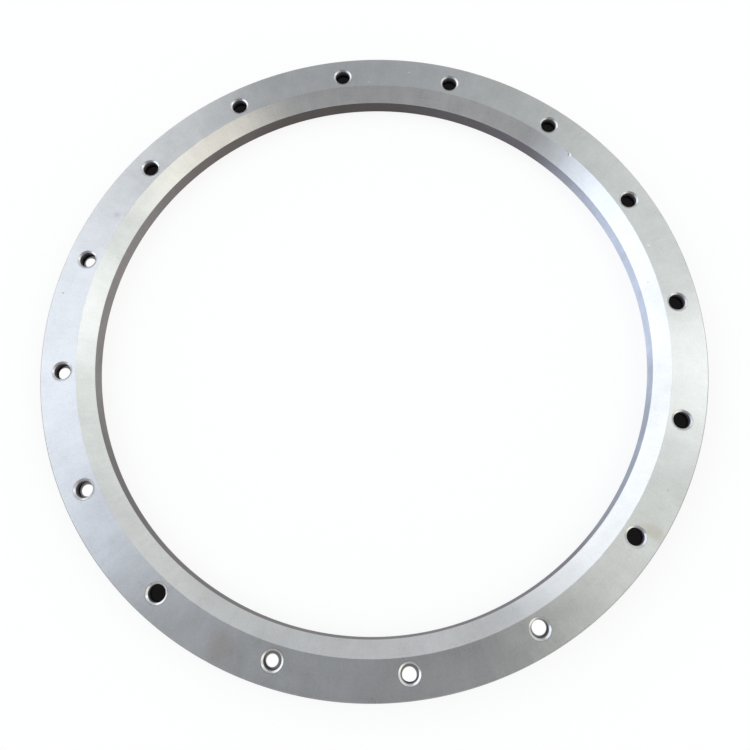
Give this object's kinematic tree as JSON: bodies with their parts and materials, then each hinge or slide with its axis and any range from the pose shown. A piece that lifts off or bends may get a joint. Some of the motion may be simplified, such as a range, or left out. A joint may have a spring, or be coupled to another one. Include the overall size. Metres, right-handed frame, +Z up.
{
  "type": "forged ring",
  "caption": "Flat turned ring with a bolting flange, a bevel into its wide bore, a collar beneath and countersunk bolt holes.",
  "frame": {"origin": "on the ring's axis, at the level of the collar's foot", "axes": "+Z up the ring's axis, from the collar's foot to the flange's upper face; +X through a bolt hole"},
  "size_m": [0.7299, 0.73, 0.03],
  "materials": {
    "turned_steel": "fine turned, dry"
  },
  "bodies": {
    "root": {"ring": "turned_steel"}
  },
  "joints": []
}
